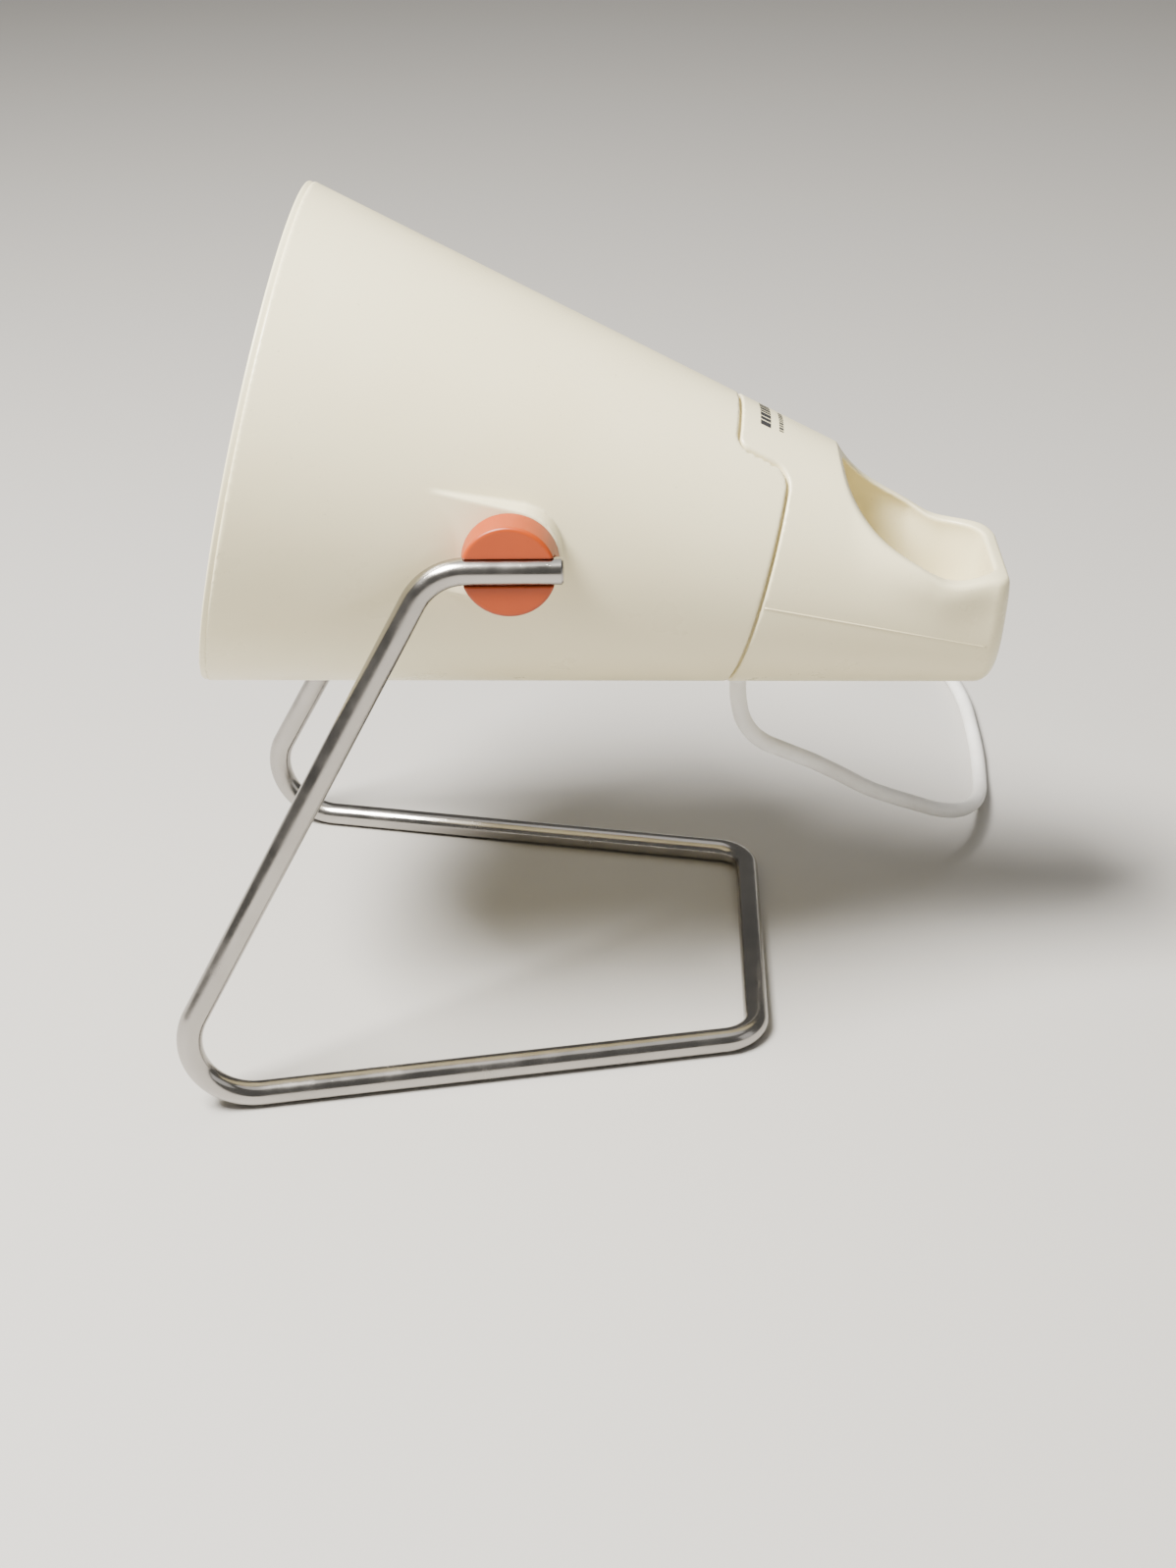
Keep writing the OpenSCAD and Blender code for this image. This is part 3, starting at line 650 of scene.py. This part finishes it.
def pocket_field(x, y, z):
    """The hollow behind the scoop: a curved front wall, a round rear bowl and a soft floor."""
    side = cone(x, y, z) + GRIP_LIP - lip_flare(x, z)
    drop = np.clip((36 - z) / 47, 0, 1.3)
    front = (SCOOP_FRONT + 1.6 + 15 * drop ** 2 - x) * 0.85
    back_x = x + GRIP_LEAN * z - (GRIP_END - 4.2)
    spread = ease((back_x + 34) / 24)
    rear = np.hypot(np.maximum(back_x + 12, 0), np.maximum(np.abs(y) - 10.5, 0) * spread) - 12
    floor = -11 - z
    hollow = round_max(round_max(side, rear, 4), front, 3.5)
    return round_max(hollow, floor, 5)


def gland_axes(x, y, z):
    """Distances across the upright cord hole under the housing."""
    level = x * math.cos(TILT) + (z - AXIS_DROP) * math.sin(TILT)
    return level - GLAND_X, y


def housing_field(x, y, z):
    """The rear housing: cone, tongue and grip, hollow inside, with the scoop and the cord hole."""
    end = (x + GRIP_LEAN * z - GRIP_END) * math.cos(GRIP_ANGLE)
    skin = round_max(cone(x, y, z) - lip_flare(x, z), end, 4.5)
    skin = round_max(skin, (z - scoop_height(x)) * 0.8, 1.0)
    pocket = pocket_field(x, y, z)
    inner = cone(x, y, z) + HOUSING_WALL
    cavity = np.maximum(inner, x + GRIP_LEAN * z - GRIP_END + GRIP_BACK)
    cavity = np.maximum(cavity, HOUSING_WALL - pocket)
    cavity = np.maximum(cavity, z - scoop_height(x) + 2 * HOUSING_WALL)
    body = round_max(skin, seam_region(x, y, z, SEAM_GAP / 2), 0.35)
    # The lap ring shows down in the seam's groove
    near_seam = np.abs(seam_region(x, y, z, 0)) - LAP_HALF
    lap = np.maximum(np.maximum(cone(x, y, z) + LAP_TOP, near_seam), -(cone(x, y, z) + LAP_BOTTOM))
    body = np.minimum(np.maximum(body, -cavity), lap)
    body = round_max(body, -pocket, 0.9)
    # Only the underside has the cord hole
    hole = GLAND_HOLE_R - np.hypot(*gland_axes(x, y, z))
    return np.maximum(body, np.where(z < -25, hole, NO_CUT))


def add_shade():
    verts, faces = contour(shade_field, (RIM - 1.4, 0, -70), (SEAM + 1.5, 70, 70), 0.65)
    ring_verts, ring_faces = rim_ring()
    ring_faces = [tuple(i + len(verts) for i in f) for f in ring_faces]
    verts = np.concatenate([verts, ring_verts])
    shade = new_mesh("shade_moulded", verts, faces.tolist() + ring_faces, HEAD)
    replace(shade, "cream_plastic", "head", "shade")
    return shade


def add_housing():
    verts, faces = contour(housing_field, (TONGUE_FRONT - 2.5, 0, -41), (GRIP_END + 6, 42, 43), 0.55)
    housing = new_mesh("housing_moulded", verts, faces, HEAD)
    replace(housing, "cream_plastic", "head", "rear_housing")
    return housing


def surface_point(x, z, side):
    """The point of the cone's skin at this x and z, on the given side."""
    r = PIVOT_R - CONE_SLOPE * x
    return x, side * math.sqrt(max(r * r - z * z, 0)), z


def add_parting_lines():
    """The fine raised lines where the mould halves met, along both sides of the housing."""
    lines = []
    start, end, length = 68, 131, 64
    for side, name in ((-1, "parting_line_left"), (1, "parting_line_right")):
        path = [surface_point(x, -0.8 - 2.6 * (x - start) / length, side)
                for x in np.linspace(start, end, 60)]
        verts, faces = tube(path, 0.2, 8)
        line = new_mesh(name, verts, faces, HEAD)
        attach(line, "head")
        lines.append(line)
    return lines


def add_print():
    """Two rows of plain printed marks on the tongue, with no lettering."""
    rng = np.random.default_rng(4)
    gap, lift = 0.45, 0.03
    # Each row: its front edge, its depth, half its length, and the least and the greatest mark
    rows = ((57.2, 3.0, 8.2, 1.2, 2.4), (62.6, 1.3, 7.4, 0.5, 1.3))
    verts, faces = [], []
    for front, depth, half, least, most in rows:
        y = -half
        while y < half - least:
            width = rng.uniform(least, most)
            base = len(verts)
            for x in (front, front + depth):
                r = PIVOT_R - CONE_SLOPE * x + lift
                for edge in (y, min(y + width, half)):
                    verts.append((x, edge, math.sqrt(r * r - edge * edge)))
            faces.append((base, base + 2, base + 3, base + 1))
            y += width + gap
    marks = new_mesh("printed_marks", np.array(verts), faces, HEAD, smooth=False)
    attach(marks, "head")
    return marks


def add_lens():
    """The domed front of the bulb with a rolled rim."""
    apex = BULB_FRONT - LENS_RISE
    dome = [(apex + (LENS_DOME_R - math.sqrt(LENS_DOME_R ** 2 - r * r)), r)
            for r in np.linspace(0.01, LENS_EDGE_R, 24)]
    rolled = ((2.6, 58.4), (2.2, 60), (0.2, 60.2), (0.05, 59), (0.05, 0.01))
    rim = [(BULB_FRONT - ahead, r) for ahead, r in rolled]
    verts, faces = lathe(dome + rim, 128)
    lens = new_mesh("lens_domed", verts, faces, HEAD)
    sharpen(lens, 45)
    replace(lens, "red_glass", "head", "bulb_lens")
    return lens


rod = add_rod()
discs = add_discs()
shade = add_shade()
housing = add_housing()
parting = add_parting_lines()
marks = add_print()
lens = add_lens()


# --- Materials ---

class Look:
    """A procedural material built up in steps round one shader."""

    def __init__(self, name, **values):
        self.mat = bpy.data.materials.new(name)
        self.mat.use_nodes = True
        self.tree = self.mat.node_tree
        self.shader = self.tree.nodes["Principled BSDF"]
        self.place = self.tree.nodes.new("ShaderNodeTexCoord").outputs["Object"]
        self.bump_in = None
        for socket, value in values.items():
            self.shader.inputs[socket.replace("_", " ")].default_value = value

    def node(self, kind, **values):
        made = self.tree.nodes.new("ShaderNode" + kind)
        for key, value in values.items():
            setattr(made, key, value)
        return made

    def link(self, a, b):
        self.tree.links.new(a, b)

    def noise(self, scale, detail=4, stretch=(1, 1, 1), rough=0.55):
        mapping = self.node("Mapping")
        mapping.inputs["Scale"].default_value = stretch
        self.link(self.place, mapping.inputs["Vector"])
        made = self.node("TexNoise")
        made.inputs["Scale"].default_value = scale
        made.inputs["Detail"].default_value = detail
        made.inputs["Roughness"].default_value = rough
        self.link(mapping.outputs["Vector"], made.inputs["Vector"])
        return made.outputs["Fac"]

    def ramp(self, source, low, high, a, b):
        """Maps the source's range low..high to a..b, which are numbers or colours."""
        if isinstance(a, tuple):
            made = self.node("ValToRGB")
            made.color_ramp.elements[0].position = low
            made.color_ramp.elements[1].position = high
            made.color_ramp.elements[0].color = (*a, 1)
            made.color_ramp.elements[1].color = (*b, 1)
            self.link(source, made.inputs["Fac"])
            return made.outputs["Color"]
        made = self.node("MapRange")
        for key, value in (("From Min", low), ("From Max", high), ("To Min", a), ("To Max", b)):
            made.inputs[key].default_value = value
        self.link(source, made.inputs["Value"])
        return made.outputs["Result"]

    def mix(self, factor, a, b, kind="MIX"):
        made = self.node("Mix", data_type="RGBA", blend_type=kind)
        if isinstance(factor, float):
            made.inputs[0].default_value = factor
        else:
            self.link(factor, made.inputs[0])
        for slot, value in ((6, a), (7, b)):
            if isinstance(value, tuple):
                made.inputs[slot].default_value = (*value, 1)
            else:
                self.link(value, made.inputs[slot])
        return made.outputs[2]

    def color(self, source):
        self.link(source, self.shader.inputs["Base Color"])

    def roughness(self, source):
        self.link(source, self.shader.inputs["Roughness"])

    def bump(self, source, depth_mm, strength=1.0):
        made = self.node("Bump")
        made.inputs["Strength"].default_value = strength
        made.inputs["Distance"].default_value = depth_mm / 1000
        self.link(source, made.inputs["Height"])
        if self.bump_in is not None:
            self.link(self.bump_in, made.inputs["Normal"])
        self.bump_in = made.outputs["Normal"]
        self.link(self.bump_in, self.shader.inputs["Normal"])


def plastic(name, light, dark, rough, grain, mottle=14.0, scratches=True):
    """Moulded plastic: slow colour drift, fine surface texture, dust and hairline wear."""
    look = Look(name, Specular_IOR_Level=0.5)
    drift = look.ramp(look.noise(mottle, 3), 0.3, 0.7, dark, light)
    specks = look.ramp(look.noise(900, 2), 0.70, 0.80, 0.0, 0.35)
    soil = tuple(0.55 * v for v in dark)
    look.color(look.mix(specks, drift, soil))
    wear = look.ramp(look.noise(60, 6), 0.3, 0.75, rough - 0.05, rough + 0.08)
    look.roughness(wear)
    look.bump(look.noise(1400, 2), grain)
    look.bump(look.noise(180, 3), grain * 0.8)
    if scratches:
        lines = look.noise(700, 2, (0.05, 1, 0.6))
        look.bump(look.ramp(lines, 0.66, 0.72, 0.0, 1.0), grain * 0.4)
    return look.mat


def metal(name, tint, rough, stretch=(1, 1, 1), pit=0.01):
    """Drawn or plated metal: fine streaks, slow tarnish and small pits."""
    look = Look(name, Metallic=1.0)
    dull = tuple(0.72 * v for v in tint)
    look.color(look.mix(look.ramp(look.noise(35, 5), 0.35, 0.8, 0.0, 0.7), tint, dull))
    look.roughness(look.ramp(look.noise(120, 5, stretch), 0.3, 0.7, rough - 0.06, rough + 0.09))
    look.bump(look.noise(900, 3, stretch), pit)
    look.bump(look.ramp(look.noise(1500, 2), 0.64, 0.7, 1.0, 0.0), pit)
    return look.mat


def red_glass():
    look = Look("red_glass", Roughness=0.08, IOR=1.5, Coat_Weight=0.6)
    look.color(look.ramp(look.noise(30, 4), 0.3, 0.7, (0.20, 0.006, 0.004), (0.34, 0.012, 0.008)))
    look.roughness(look.ramp(look.noise(80, 4), 0.3, 0.7, 0.05, 0.16))
    dimples = look.node("TexVoronoi")
    dimples.inputs["Scale"].default_value = 420
    look.link(look.place, dimples.inputs["Vector"])
    look.bump(dimples.outputs["Distance"], 0.25, 0.6)
    return look.mat


def mirrored_glass():
    look = Look("mirrored_glass", Metallic=1.0)
    look.color(look.ramp(look.noise(25, 4), 0.3, 0.7, (0.62, 0.63, 0.65), (0.86, 0.87, 0.89)))
    look.roughness(look.ramp(look.noise(150, 4), 0.3, 0.7, 0.06, 0.2))
    look.bump(look.noise(300, 3), 0.03)
    return look.mat


plastics = {
    "cream_plastic": dict(light=(0.88, 0.81, 0.55), dark=(0.84, 0.76, 0.49), rough=0.30, grain=0.012),
    "orange_plastic": dict(light=(0.40, 0.052, 0.001), dark=(0.35, 0.044, 0.001), rough=0.40, grain=0.01,
                           mottle=40.0),
    "porcelain": dict(light=(0.86, 0.85, 0.80), dark=(0.80, 0.78, 0.72), rough=0.15, grain=0.01,
                      mottle=20.0, scratches=False),
    "pale_plastic": dict(light=(0.76, 0.74, 0.67), dark=(0.70, 0.67, 0.59), rough=0.42, grain=0.02,
                         mottle=30.0),
    "cord_plastic": dict(light=(0.87, 0.86, 0.83), dark=(0.76, 0.74, 0.70), rough=0.38, grain=0.03,
                         mottle=60.0),
    "dark_insulation": dict(light=(0.030, 0.030, 0.032), dark=(0.018, 0.018, 0.020), rough=0.45,
                            grain=0.03, mottle=50.0),
    "brown_wire": dict(light=(0.13, 0.05, 0.025), dark=(0.09, 0.035, 0.018), rough=0.4, grain=0.02,
                       mottle=80.0, scratches=False),
    "blue_wire": dict(light=(0.02, 0.06, 0.33), dark=(0.015, 0.04, 0.24), rough=0.4, grain=0.02,
                      mottle=80.0, scratches=False),
}
metals = {
    "rod_steel": dict(tint=(0.44, 0.42, 0.395), rough=0.19, pit=0.006),
    "zinc_steel": dict(tint=(0.55, 0.55, 0.53), rough=0.32),
    "brass": dict(tint=(0.72, 0.50, 0.20), rough=0.28),
    "pin_metal": dict(tint=(0.72, 0.70, 0.64), rough=0.22, stretch=(0.2, 1, 1)),
    "tungsten": dict(tint=(0.30, 0.30, 0.31), rough=0.4),
}
looks = {slot: plastic(slot, **values) for slot, values in plastics.items()}
looks.update({slot: metal(slot, **values) for slot, values in metals.items()})
looks["red_glass"] = red_glass()
looks["mirrored_glass"] = mirrored_glass()


def set_look(obj, slot):
    obj.data.materials.clear()
    obj.data.materials.append(looks[slot])


for subpart in frame["record"]["subparts"]:
    set_look(nodes[subpart["node"]], subpart["material_slot"])

pieces_of = {
    "cream_plastic": [shade, housing, *parting],
    "orange_plastic": discs,
    "rod_steel": [rod],
    "red_glass": [lens],
    "dark_insulation": [marks, tie],
    "cord_plastic": [cord, relief],
    "pale_plastic": plug_pieces[:2],
    "pin_metal": plug_pieces[2:],
}
for slot, pieces in pieces_of.items():
    for piece in pieces:
        set_look(piece, slot)


# --- Floor and light ---

def add_floor():
    bpy.ops.mesh.primitive_plane_add(size=12, location=(0, 0, 0))
    floor = bpy.context.object
    floor.name = "floor"
    floor_look = Look("floor", Base_Color=(0.47, 0.455, 0.43, 1), Roughness=0.6)
    floor.data.materials.append(floor_look.mat)


def area_light(name, place, target, size, power, tint):
    data = bpy.data.lights.new(name, "AREA")
    data.shape = "RECTANGLE"
    data.size, data.size_y = size
    data.energy = power
    data.color = tint
    lamp = bpy.data.objects.new(name, data)
    lamp.location = place
    aim = Vector(target) - Vector(place)
    lamp.rotation_euler = aim.to_track_quat("-Z", "Y").to_euler()
    bpy.context.collection.objects.link(lamp)


def add_world():
    world = bpy.data.worlds.new("studio")
    bpy.context.scene.world = world
    world.use_nodes = True
    background = world.node_tree.nodes["Background"]
    background.inputs["Color"].default_value = (0.83, 0.81, 0.77, 1)
    background.inputs["Strength"].default_value = 0.2


add_floor()
area_light("window", place=(-0.62, -0.42, 1.35), target=(0, 0, 0.12), size=(0.6, 0.5), power=100,
           tint=(1.0, 0.975, 0.93))
area_light("ceiling", place=(0.15, 0.1, 1.6), target=(0, 0, 0.1), size=(1.8, 1.4), power=7,
           tint=(1.0, 0.99, 0.97))
area_light("side_fill", place=(1.4, -0.6, 0.6), target=(0, 0, 0.12), size=(0.8, 1.0), power=2,
           tint=(1.0, 0.99, 0.97))
add_world()
